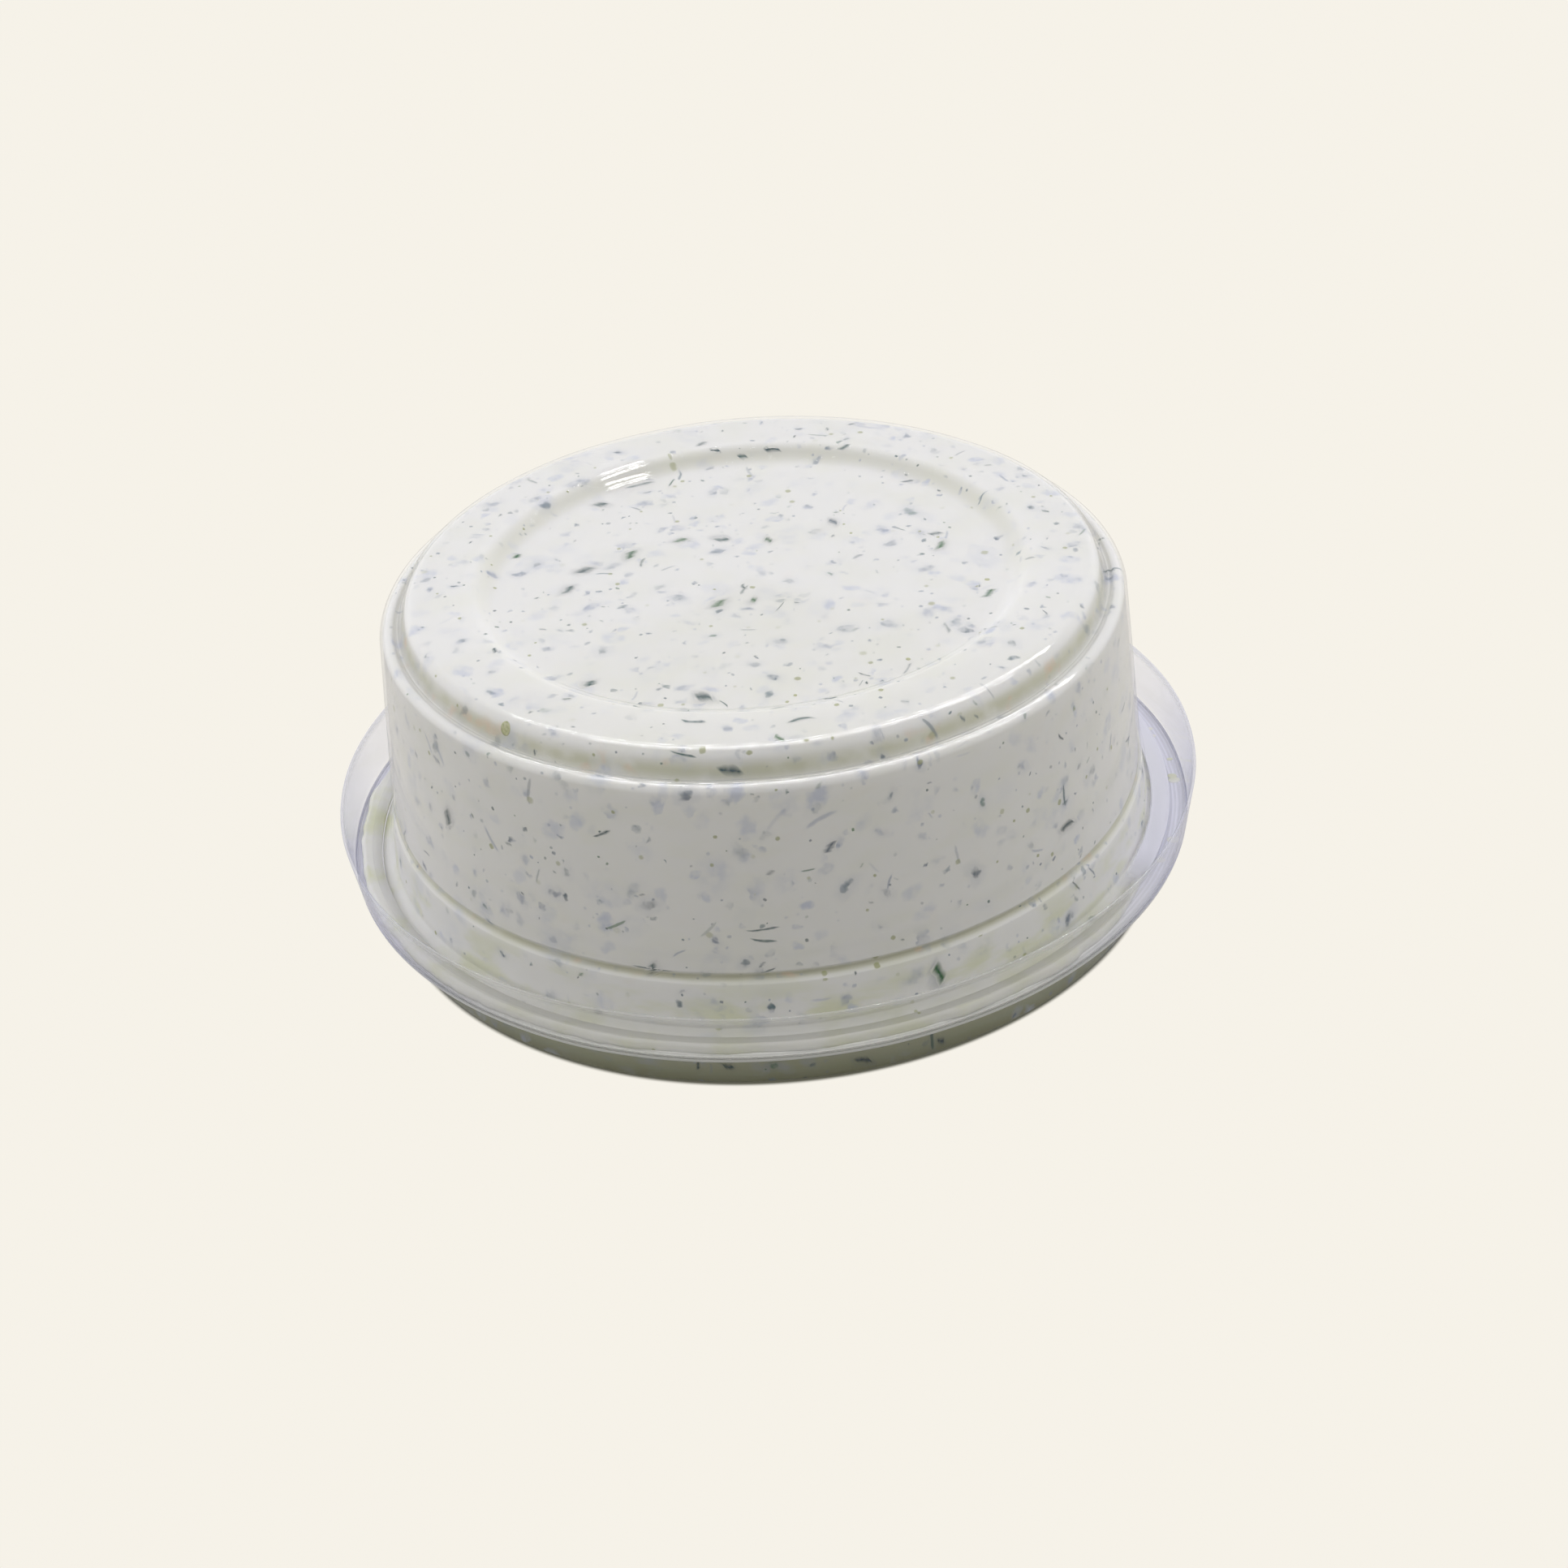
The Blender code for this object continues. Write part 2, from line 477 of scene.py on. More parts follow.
def inclusions(tree, coords, cell, length, width, share, crisp, bend=0.0, square=4.0):
    """Randomly turned flat bits, one in a share of the cells that the skin cuts through. The
    deeper one lies, the fainter and softer it is. Gives how much of it shows, how much of the
    halo round it shows, how deep it lies (0 at the skin) and two random values.

    More random values come from a cell's three, as the fractions of their multiples."""
    moved = vector(tree, "ADD", coords, (cell * 3.7, cell * 1.3, cell * 9.1))
    cells = add(tree, "TexVoronoi", {"Vector": moved, "Scale": 1.0 / cell})
    chance = cells.outputs["Color"]
    parts = add(tree, "SeparateColor", {0: chance}).outputs
    normal = add(tree, "TexCoord").outputs["Normal"]
    random_way = vector(tree, "SUBTRACT", chance, (0.5, 0.5, 0.5))
    along = vector(tree, "NORMALIZE", vector(tree, "CROSS_PRODUCT", normal, random_way))
    across = vector(tree, "CROSS_PRODUCT", normal, along)
    offset = vector(tree, "SUBTRACT", moved, cells.outputs["Position"])
    luck = maths(tree, "FRACT", times(tree, parts[0], 7.31))
    size = remap(tree, maths(tree, "FRACT", times(tree, parts[2], 9.17)), 0, 1, 1.9, 0.75, smooth=False)
    u = times(tree, dot(tree, offset, along), size, 2 / length)
    v = times(tree, dot(tree, offset, across), size, 2 / width)
    if bend:
        curve = times(tree, maths(tree, "SUBTRACT", times(tree, u, u), 0.4), bend)
        v = maths(tree, "ADD", v, curve)
    ends = maths(tree, "POWER", maths(tree, "ABSOLUTE", u), square)
    reach = maths(tree, "ADD", ends, times(tree, v, v))
    depth = times(tree, maths(tree, "ABSOLUTE", dot(tree, offset, normal)), 2 / cell)
    soft_from = remap(tree, depth, 0.0, 0.7, crisp, 0.0)
    soft_to = remap(tree, depth, 0.0, 0.7, 1.1, 2.6)
    inside = remap(tree, reach, soft_to, soft_from)
    crowd = noise_value(tree, cells.outputs["Position"], 11 * MM, 1.0)
    crowd = remap(tree, crowd, 0.35, 0.65, share * 0.5, share * 1.4)
    filled = maths(tree, "LESS_THAN", luck, crowd)
    shown = remap(tree, depth, 0.95, 0.3, smooth=False)
    tone = maths(tree, "FRACT", times(tree, parts[1], 5.77))
    strong = maths(tree, "FRACT", times(tree, parts[0], 3.93))
    halo = times(tree, remap(tree, reach, 7.0, 0.0), filled, shown)
    return times(tree, inside, filled, shown), halo, depth, tone, strong


def herb_colour(tree, tone, coords):
    """Slate, teal, grey and green bits, by tone from 0 to 1, and greener on the top."""
    ramp = add(tree, "ValToRGB", {"Fac": tone})
    elements = ramp.color_ramp.elements
    elements[0].color = rgb(HERB_SLATE)
    elements[1].color = rgb(HERB_GREEN)
    for place, colour in ((0.3, HERB_TEAL), (0.5, HERB_GREY), (0.75, HERB_SLATE)):
        elements.new(place).color = rgb(colour)
    height = height_of(tree, coords)
    not_green = maths(tree, "LESS_THAN", tone, 0.9)
    on_top = times(tree, remap(tree, height, TOP - 4 * MM, TOP - 2 * MM, 0.0, 0.4), not_green)
    return mixed(tree, on_top, ramp.outputs["Color"], HERB_TEAL)


def soap_tints_and_shade(tree, coords):
    """Cream soap, yellower in patches towards the mouth, with faint stains, and with painted shade in
    its hollows, on a ledge, at the mouth and at the foot.
    """
    height = height_of(tree, coords)
    radius = radius_of(tree, coords)
    streaks = vector(tree, "MULTIPLY", coords, (1, 1, 2.6))
    patches = remap(tree, noise_value(tree, streaks, 6 * MM, 3.0), 0.44, 0.70)
    near_rim = remap(tree, height, 13 * MM, 6 * MM, 0.12, 0.8)
    colour = mixed(tree, times(tree, patches, near_rim), SOAP_WHITE, SOAP_YELLOW)
    # Painted shade: below the flange the soap is painted yellower, as the warm tint of its shade.
    low = remap(tree, height, FLANGE_Z + 0.2 * MM, FLANGE_Z - 0.6 * MM, 0.0, 0.75)
    colour = mixed(tree, low, colour, SOAP_YELLOW)
    way = way_of(tree, coords)
    # Painted shade: the soap at the tub's mouth is painted greyer, most on the front.
    film = remap(tree, dot(tree, way, (0, -1, 0)), 0.3, 0.9, 0.1, 0.5)
    film = times(tree, film, near_level(tree, height, RIM_Z, 0.9 * MM))
    colour = mixed(tree, film, colour, MOUTH_SHADE_GREY)
    # Painted shade: darker towards the floor, where the soap meets it.
    foot = remap(tree, height, FLANGE_Z - 1.2 * MM, 0.3 * MM, 0.0, 0.9, smooth=False)
    colour = mixed(tree, foot, colour, FOOT_SHADE_OLIVE)
    # Painted shade: the far side of the recess's wall is painted darker.
    recess = near_level(tree, radius, (RECESS_R + RECESS_FLOOR_R) / 2, 1.5 * MM)
    recess = times(tree, recess, remap(tree, dot(tree, way, (0, 1, 0)), -0.5, 0.4, 0.0, 0.3))
    colour = mixed(tree, recess, colour, OLIVE_SHADE)
    # Painted shade: darker where the ring meets the bead and along the crease, unevenly.
    outside = remap(tree, radius, RECESS_R + 3 * MM, RING_R)
    inside = remap(tree, radius, BEAD_R - 0.1 * MM, BEAD_R - 0.4 * MM)
    groove = times(tree, outside, inside, near_level(tree, height, BEAD_Z + 0.3 * MM, 1.4 * MM))
    crease = near_level(tree, height, CREASE_Z - 0.4 * MM, 0.42 * MM)
    bead_and_crease_shade = maths(tree, "ADD", times(tree, groove, 0.75), times(tree, crease, 0.6))
    uneven_shade = remap(tree, noise_value(tree, coords, 3 * MM), 0.25, 0.6, 0.45, 1.0)
    colour = mixed(tree, times(tree, bead_and_crease_shade, uneven_shade), colour, OLIVE_SHADE)
    # Painted shade: the ledge below the crease is painted a little darker.
    ledge = near_level(tree, height, BAND_Z + 0.3 * MM, 0.6 * MM)
    colour = mixed(tree, times(tree, ledge, 0.3), colour, OLIVE_SHADE)
    # Painted shade: the crease is painted browner, most on the front.
    front = remap(tree, dot(tree, way, (0, -1, 0)), 0.5, 1.0, 0.15, 0.6)
    colour = mixed(tree, times(tree, crease, front), colour, CREASE_SHADE_BROWN)
    stains = remap(tree, noise_value(tree, coords, 2.6 * MM, 2.0), 0.60, 0.76)
    stained = times(tree, maths(tree, "ADD", bead_and_crease_shade, 0.05), stains, 0.6)
    return mixed(tree, stained, colour, SOAP_STAIN)


def with_herbs(tree, coords, colour):
    """The colour with herb bits and smudges in it, but none where the soap bends at the mouth."""
    ragged = add(tree, "TexNoise", {"Vector": coords, "Scale": 1 / (0.8 * MM), "Detail": 3.0})
    shift = vector(tree, "SUBTRACT", ragged.outputs["Color"], (0.5, 0.5, 0.5))
    shift = vector(tree, "SCALE", shift, Scale=1.1 * MM)
    bitten = vector(tree, "ADD", coords, shift)
    straight = vector(tree, "ADD", coords, vector(tree, "SCALE", shift, Scale=0.2))
    mouth = near_level(tree, height_of(tree, coords), (FLANGE_Z + RIM_Z) / 2, 1.1 * MM)
    off_mouth = maths(tree, "SUBTRACT", 1.0, mouth)
    clouds = remap(tree, noise_value(tree, coords, 1.1 * MM, 3.0), 0.35, 0.6, 0.35, 1.0)
    for cell, length, width, share, crisp, bend, strength, glow in INCLUSIONS:
        where, square = (straight, 4.0) if crisp else (bitten, 2.0)
        sizes = (cell * MM, length * MM, width * MM)
        shows, halo, depth, tone, strong = inclusions(tree, where, *sizes, share, crisp, bend, square)
        if glow:
            colour = mixed(tree, times(tree, halo, strong, glow), colour, BLOTCH_BLUE)
        if not crisp:
            shows = times(tree, shows, clouds)
        paint = SMUDGE_BLUE
        if strength > SMUDGE_STRENGTH:
            veiled = remap(tree, depth, 0.1, 0.7, 0.0 if crisp else 0.25, 1.0)
            paint = mixed(tree, veiled, herb_colour(tree, tone, coords), BLOTCH_BLUE)
        faint = remap(tree, strong, 0.0, 1.0, strength * 0.2, strength, smooth=False)
        colour = mixed(tree, times(tree, shows, faint, off_mouth), colour, paint)
    return colour


def soap_material(name, herbs=True):
    """Cast soap, with or without herb bits, and with small seeds."""
    tree, finish = new_material(name)
    coords = add(tree, "TexCoord").outputs["Object"]
    colour = soap_tints_and_shade(tree, coords)
    if herbs:
        colour = with_herbs(tree, coords, colour)
    seeds = inclusions(tree, coords, 4.4 * MM, 0.55 * MM, 0.5 * MM, 0.55, 0.3)[0]
    colour = mixed(tree, times(tree, seeds, 0.75), colour, SEED_OLIVE)
    return finish(soap_shader(tree, coords, colour))


def soap_shader(tree, coords, colour):
    """Slightly see-through soap with a fine grain, and hardly shiny."""
    grain = noise_value(tree, coords, 0.35 * MM, 3.0)
    bump = add(tree, "Bump", {"Height": grain, "Strength": 0.1, "Distance": 0.03 * MM})
    rough = remap(tree, noise_value(tree, coords, 2.5 * MM), 0.3, 0.7, 0.42, 0.55)
    look = {
        "Base Color": colour,
        "Roughness": rough,
        "Specular IOR Level": 0.2,
        "Subsurface Weight": 0.15,
        "Subsurface Radius": (1.0, 0.95, 0.75),
        "Subsurface Scale": 0.8 * MM,
        "Normal": bump.outputs[0],
    }
    return add(tree, "BsdfPrincipled", look)


def lid_frost(tree, coords):
    """Where the lid's sheet is cloudy: the foot of its skirt and its free edge, in fine rings."""
    height = height_of(tree, coords)
    radius = radius_of(tree, coords)
    outer = remap(tree, radius, RIM_R - 0.6 * MM, RIM_R - 0.2 * MM)
    low = remap(tree, height, FLANGE_Z + 0.6 * MM, FLANGE_Z + 0.35 * MM)
    foot = times(tree, outer, low)
    edge = near_level(tree, height, SKIRT_TOP - 0.25 * MM, 0.6 * MM)
    along = maths(tree, "ADD", radius, height)
    lines = maths(tree, "SINE", times(tree, along, math.tau / (0.42 * MM)))
    lines = remap(tree, lines, -0.6, 0.9, 0.82, 1.0)
    return times(tree, maths(tree, "ADD", times(tree, foot, 0.95), times(tree, edge, 0.35)), lines)


def rim_frost(tree, coords):
    """The tub's rim is cloudy where no soap has crept under it."""
    height = height_of(tree, coords)
    low = remap(tree, height, RIM_Z + 2.2 * SHEET, RIM_Z + 1.2 * SHEET)
    rim = remap(tree, radius_of(tree, coords), MOUTH_R - 0.1 * MM, MOUTH_R + 0.3 * MM)
    middle = (CREPT_FROM + CREPT_TO) / 2
    way = way_of(tree, coords)
    towards = dot(tree, way, (math.cos(middle), math.sin(middle), 0))
    edge = math.cos((CREPT_TO - CREPT_FROM) / 2)
    free = remap(tree, towards, edge + 0.1, edge - 0.1)
    return times(tree, low, rim, free, 0.75)


def tub_shine(tree, coords):
    """The sheet shines more where it is drawn over an edge, on one stretch of the recess's wall, and
    less on the rest of that wall and below the crease."""
    wall = near_level(tree, radius_of(tree, coords), (RECESS_R + RECESS_FLOOR_R) / 2, 3.5 * MM)
    wall = remap(tree, wall, 0.0, 0.35)
    way = way_of(tree, coords)
    stretch = remap(tree, dot(tree, way, SHINY_WAY), 0.993, 0.998)
    height = height_of(tree, coords)
    ring = remap(tree, radius_of(tree, coords), RING_R - 1.2 * MM, RING_R - 0.8 * MM)
    ring = times(tree, ring, near_level(tree, height, TOP - 0.2 * MM, 0.7 * MM))
    bead = near_level(tree, height, BEAD_Z - 0.1 * MM, 0.6 * MM)
    edges = maths(tree, "MAXIMUM", ring, bead)
    edges = maths(tree, "MAXIMUM", edges, times(tree, wall, stretch, STRETCH_SHINE))
    wall = times(tree, wall, maths(tree, "SUBTRACT", 1.0, stretch))
    band = remap(tree, height, CREASE_Z + 0.8 * MM, CREASE_Z)
    shine = maths(tree, "SUBTRACT", 1.0, times(tree, maths(tree, "MAXIMUM", wall, band), 0.92))
    return maths(tree, "ADD", shine, times(tree, edges, EDGE_SHINE))


def lid_shine(tree, coords):
    """The lid's sheet shines less from just above its flange down."""
    height = height_of(tree, coords)
    return remap(tree, height, FLANGE_Z + 1.4 * MM, FLANGE_Z + 0.6 * MM, 1.0, 0.25)


def clear_material(name, haze, ripple, far_tint, frost, shine):
    """Thermoformed clear sheet: seen through, tinted at a slant, with slightly rippled reflections."""
    tree, finish = new_material(name)
    coords = add(tree, "TexCoord").outputs["Object"]
    waves = noise_value(tree, coords, 3.5 * MM, 1.0)
    fine = times(tree, noise_value(tree, coords, 0.5 * MM, 1.0), 0.06)
    bump_inputs = {"Height": maths(tree, "ADD", waves, fine), "Strength": 1.0, "Distance": ripple}
    bump = add(tree, "Bump", bump_inputs).outputs[0]
    slant = add(tree, "LayerWeight", {"Blend": 0.5}).outputs["Facing"]
    way = way_of(tree, coords)
    front = remap(tree, dot(tree, way, (0, -1, 0)), 0.35, 0.9)
    tint = mixed(tree, times(tree, slant, slant), CLEAR_NEAR, mixed(tree, front, far_tint, FRONT_SLANT))
    cloud = remap(tree, noise_value(tree, coords, 6 * MM), 0.3, 0.7, 0.7, 1.3)
    milky = times(tree, remap(tree, slant, 0.2, 1.0, haze, haze * 4), cloud)
    milky = maths(tree, "ADD", milky, frost(tree, coords))
    through = add(tree, "BsdfTransparent", {"Color": tint})
    body = add(tree, "BsdfDiffuse", {"Color": mixed(tree, front, CLEAR_HAZE, FRONT_HAZE)})
    sheet = add(tree, "MixShader", {0: milky, 1: through.outputs[0], 2: body.outputs[0]})
    mirror = add(tree, "BsdfGlossy", {"Roughness": 0.08, "Normal": bump})
    glance = add(tree, "LayerWeight", {"Blend": 0.5, "Normal": bump}).outputs["Facing"]
    share = remap(tree, maths(tree, "POWER", glance, 5.0), 0.0, 1.0, HEAD_ON, GRAZING, smooth=False)
    share = times(tree, share, shine(tree, coords))
    return finish(add(tree, "MixShader", {0: share, 1: sheet.outputs[0], 2: mirror.outputs[0]}))


def herb_material():
    """Chopped herb, finely mottled: each bit has its own tone and its own veil of soap."""
    tree, finish = new_material("herb_bits")
    coords = add(tree, "TexCoord").outputs["Object"]
    tone = add(tree, "Attribute", attribute_name="tone").outputs["Fac"]
    veil = add(tree, "Attribute", attribute_name="veil").outputs["Fac"]
    colour = herb_colour(tree, tone, coords)
    mottle = remap(tree, noise_value(tree, coords, 0.2 * MM), 0.35, 0.7, 0.0, 0.35)
    colour = mixed(tree, mottle, colour, HERB_GREY)
    patchy = remap(tree, noise_value(tree, coords, 0.6 * MM), 0.35, 0.65, -0.15, 0.15)
    hidden = maths(tree, "ADD", veil, times(tree, patchy, maths(tree, "SUBTRACT", 1.0, veil)))
    colour = mixed(tree, hidden, colour, soap_tints_and_shade(tree, coords))
    return finish(soap_shader(tree, coords, colour))


def seed_material():
    """Olive seeds with a darker, mottled coat."""
    tree, finish = new_material("seeds")
    coords = add(tree, "TexCoord").outputs["Object"]
    mottle = remap(tree, noise_value(tree, coords, 0.3 * MM), 0.3, 0.7)
    colour = mixed(tree, mottle, SEED_OLIVE, (0.55, 0.55, 0.30))
    bump = add(tree, "Bump", {"Height": mottle, "Strength": 0.4, "Distance": 0.03 * MM})
    look = {"Base Color": colour, "Roughness": 0.4, "Normal": bump.outputs[0]}
    return finish(add(tree, "BsdfPrincipled", look))


# Pieces.


class Skin:
    """A turned surface addressed by the distance along its outline and the angle round the axis."""

    def __init__(self, outline):
        self.points = np.array([tuple(p) for p in outline])
        runs = np.hypot(*np.diff(self.points, axis=0).T)
        self.run = np.concatenate([[0.0], np.cumsum(runs)])
        self.length = float(self.run[-1])

    def at(self, s):
        return Vector([float(np.interp(s, self.run, self.points[:, i])) for i in (0, 1)])

    def nearest(self, r, z):
        """The distance along the outline of its point nearest to (r, z)."""
        return float(self.run[np.argmin(np.hypot(self.points[:, 0] - r, self.points[:, 1] - z))])

    def place(self, s, angle, height):
        """The point at s and angle, height outside the skin."""
        step = 0.08 * MM
        way = (self.at(s + step) - self.at(s - step)).normalized()
        here = self.at(s) + Vector((-way.y, way.x)) * height
        return Vector((here.x * math.cos(angle), here.x * math.sin(angle), here.y))

    def random_spot(self, rng):
        """A spot with even chance for each area."""
        widest = float(self.points[:, 0].max())
        while True:
            s = rng.uniform(0, self.length)
            if rng.random() * widest < self.at(s).x:
                return s, rng.uniform(0, math.tau)


class Bits:
    """Flat bits lying in a skin, gathered into one mesh."""

    def __init__(self, skin, seed):
        self.skin = skin
        self.rng = random.Random(seed)
        self.points, self.faces, self.tones, self.veils = [], [], [], []

    def lay(self, spot, length, width, heading, tone, veil, proud=1.0):
        """Adds one ragged, slightly bent bit, which fades into the soap at its edges."""
        rng = self.rng
        s0, angle0 = spot
        radius = max(self.skin.at(s0).x, 1.5 * MM)
        bend = rng.uniform(-0.22, 0.22) * length * rng.random()
        taper = rng.uniform(0.0, 0.6)
        stations = 7 if length > 0.8 * MM else 5
        start = len(self.points)
        for i in range(stations):
            u = 2 * i / (stations - 1) - 1
            half = width / 2 * (1 - taper * abs(u) ** 3) * rng.uniform(0.7, 1.15)
            at_end = i in (0, stations - 1)
            for side, height in SECTION_OF_BIT:
                along = u * length / 2 + side * width * 0.15
                across = bend * (1 - u * u) + side * half
                ds = along * math.sin(heading) + across * math.cos(heading)
                turn = (along * math.cos(heading) - across * math.sin(heading)) / radius
                self.points.append(self.skin.place(s0 + ds, angle0 + turn, height * proud))
                self.veils.append(1.0 if at_end or side else veil)
        n = len(SECTION_OF_BIT)
        for a in range(start, start + n * (stations - 1), n):
            self.faces += [(a + j, a + (j + 1) % n, a + n + (j + 1) % n, a + n + j) for j in range(n)]
        last = len(self.points) - n
        self.faces += [tuple(range(start, start + n))[::-1], tuple(range(last, last + n))]
        self.tones += [tone] * (n * stations)

    def scatter(self, count, lengths, shares):
        """Adds many bits with even chance for each area."""
        rng = self.rng
        for _ in range(count):
            length = rng.uniform(*lengths)
            width = length * rng.uniform(*shares)
            heading = rng.uniform(0, math.tau)
            tone, veil = rng.random(), rng.uniform(0.0, 0.6)
            self.lay(self.skin.random_spot(rng), length, width, heading, tone, veil)

    def mesh(self, name):
        mesh = bpy.data.meshes.new(name)
        mesh.from_pydata(self.points, [], self.faces)
        for key, values in (("tone", self.tones), ("veil", self.veils)):
            mesh.attributes.new(key, "FLOAT", "POINT").data.foreach_set("value", values)
        return mesh


def large_bits():
    """The large bits that catch the eye, in mm and degrees.

    Each is (radius, height, angle, length, width, heading, tone)."""
    return (
        (39.6, 12.2, -108, 1.1, 0.45, 90, 0.25),
        (39.6, 11.8, -108, 3.4, 0.30, 2, 0.1),
        (35.3, 34.0, -102, 2.2, 0.25, 10, 0.3),
        (36.3, 32.5, -95, 2.0, 0.80, 5, 0.0),
        (39.2, 16.4, -92, 2.7, 0.22, -6, 0.2),
        (39.2, 15.2, -92, 2.2, 0.25, 8, 0.3),
        (39.2, 16.8, -42, 2.0, 0.40, 0, 0.05),
        (38.5, 26.7, -114, 1.8, 0.28, -30, 0.1),
        (40.8, 8.6, -68, 1.9, 0.55, 70, 0.95),
        (5.7, 33.1, -125, 1.5, 0.60, 80, 1.0),
        (25.4, 33.1, 116, 2.8, 0.55, 5, 0.3),
        (25.2, 33.1, -17, 1.6, 0.70, 10, 0.95),
        (20.2, 33.1, 11, 1.7, 0.35, 30, 1.0),
        (26.0, 33.1, 160, 0.8, 0.60, 0, 0.95),
        (38.9, 20.9, -144, 1.6, 0.55, 80, 0.1),
        (30.2, 34.4, -102, 2.0, 0.45, 0, 0.35),
        (19.0, 33.1, 178, 1.5, 0.50, 20, 0.3),
        (17.5, 33.1, 165, 1.6, 0.60, 35, 0.1),
        (14.0, 33.1, 150, 1.6, 0.55, -20, 0.95),
        (12.0, 33.1, 127, 1.3, 0.40, 5, 1.0),
        (9.0, 33.1, 107, 1.4, 0.45, 15, 0.3),
        (8.0, 33.1, 75, 0.9, 0.40, 30, 0.95),
        (5.0, 33.1, -89, 0.7, 0.50, 60, 1.0),
        (6.5, 33.1, -67, 1.8, 0.12, -40, 0.1),
        (28.5, 34.2, -153, 0.9, 0.55, 10, 0.0),
        (24.5, 33.1, -131, 0.9, 0.55, 60, 0.3),
        (30.5, 34.4, -83, 2.2, 0.40, -8, 0.25),
        (24.0, 33.1, -103, 1.5, 0.70, 0, 0.1),
        (24.5, 33.1, -98, 1.4, 0.15, 50, 0.3),
        (25.5, 33.1, -75, 1.2, 0.20, 10, 0.1),
        (27.5, 33.9, 83, 1.6, 0.60, 0, 0.0),
        (27.0, 33.6, 90, 0.9, 0.60, 0, 0.3),
        (28.0, 34.1, 96, 1.0, 0.60, 10, 0.1),
        (24.5, 33.1, 129, 1.2, 0.60, 20, 0.2),
        (14.5, 33.1, 50, 1.3, 0.40, 15, 0.5),
        (41.5, 2.6, -98, 1.0, 0.35, 10, 0.1),
        (41.5, 1.6, -80, 1.6, 0.40, 15, 0.0),
        (41.6, 3.0, -77, 1.0, 0.25, 75, 0.2),
        (41.6, 3.2, -73, 0.8, 0.40, 80, 0.1),
        (41.6, 3.4, -104, 1.7, 0.35, 0, 0.5),
        (41.5, 1.6, -69, 0.8, 0.40, 30, 0.0),
    )


def seed_mesh(skin, spots):
    """Seeds pressed flat against the clear sheet, with the rest of each sunk in the skin.

    A spot is (distance along the outline, angle, diameter)."""
    rings, sides = 6, 12
    points, faces = [], []
    for s0, angle0, size in spots:
        start = len(points)
        radius = skin.at(s0).x
        for i in range(1, rings):
            polar = math.pi * i / rings
            for j in range(sides):
                turn = math.tau * j / sides
                bulge = 1 + 0.1 * noise.noise(Vector((s0 / MM, i * 0.7, turn)))
                out = size / 2 * math.sin(polar) * bulge
                ds, side = out * math.cos(turn) * 1.15, out * math.sin(turn)
                sunk = min(0.0, math.cos(polar)) * size * 0.6
                height = CLING * (0.4 + 0.3 * math.cos(polar)) + sunk
                points.append(skin.place(s0 + ds, angle0 + side / radius, height))
        points.append(skin.place(s0, angle0, 0.75 * CLING))
        points.append(skin.place(s0, angle0, -size * 0.6))
        top, bottom = len(points) - 2, len(points) - 1
        last = start + (rings - 2) * sides
        for j in range(sides):
            k = (j + 1) % sides
            faces.append((top, start + j, start + k))
            faces.append((bottom, last + k, last + j))
            for i in range(rings - 2):
                a, b = start + i * sides, start + (i + 1) * sides
                faces.append((a + j, b + j, b + k, a + k))
    mesh = bpy.data.meshes.new("seeds")
    mesh.from_pydata(points, [], faces)
    mesh.shade_smooth()
    return mesh


def make_tub():
    corners = tub_corners()
    mesh = turned_mesh("tub_shell", sheet_section(corners, inset(corners, SHEET), from_axis=True))
    clear = clear_material("clear_tub", 0.010, 0.010 * MM, TUB_SLANT, frost=rim_frost, shine=tub_shine)
    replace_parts(new_piece("tub_shell", mesh, clear, "tub"), "tub")


def make_lid():
    mesh = turned_mesh("lid_shell", sheet_section(lid_corners(), lid_inner_corners(), from_axis=False))
    clear = clear_material("clear_lid", 0.02, 0.02 * MM, LID_SLANT, frost=lid_frost, shine=lid_shine)
    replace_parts(new_piece("lid_shell", mesh, clear, "lid"), "lid")


def make_soap():
    outline = soap_outline()
    mesh = turned_mesh("soap_cake", outline)
    soap = new_piece("soap_cake", mesh, soap_material("herb_soap"), "puck")
    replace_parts(soap, "soap_puck")
    skin = Skin(outline)
    bits = Bits(skin, 7)
    for r, z, angle, length, width, heading, tone in large_bits():
        spot = (skin.nearest(r * MM, z * MM), math.radians(angle))
        heading = math.radians(heading)
        soft = width > SLIVER_WIDTH and (r < FLOOR_UP_TO or r > WALL_FROM)
        spread = SOFT_SPREAD if soft else SPREAD
        bits.lay(spot, length * STRETCH * MM, width * spread * MM, heading, tone, 0.0)
        if soft:
            halo = (length * HALO_STRETCH * MM, width * HALO_SPREAD * MM)
            bits.lay(spot, *halo, heading, HALO_TONE, HALO_VEIL, proud=0.5)
    for count, lengths, shares in SCATTERED:
        bits.scatter(count, lengths, shares)
    new_piece("herb_bits", bits.mesh("herb_bits"), herb_material(), "puck")
    rng = random.Random(11)
    spots = [(skin.nearest(36.0 * MM, 33.3 * MM), math.radians(-132.5), 1.25 * MM)]
    for _ in range(16):
        spots.append((*skin.random_spot(rng), rng.uniform(0.3, 0.55) * MM))
    new_piece("seeds", seed_mesh(skin, spots), seed_material(), "puck")


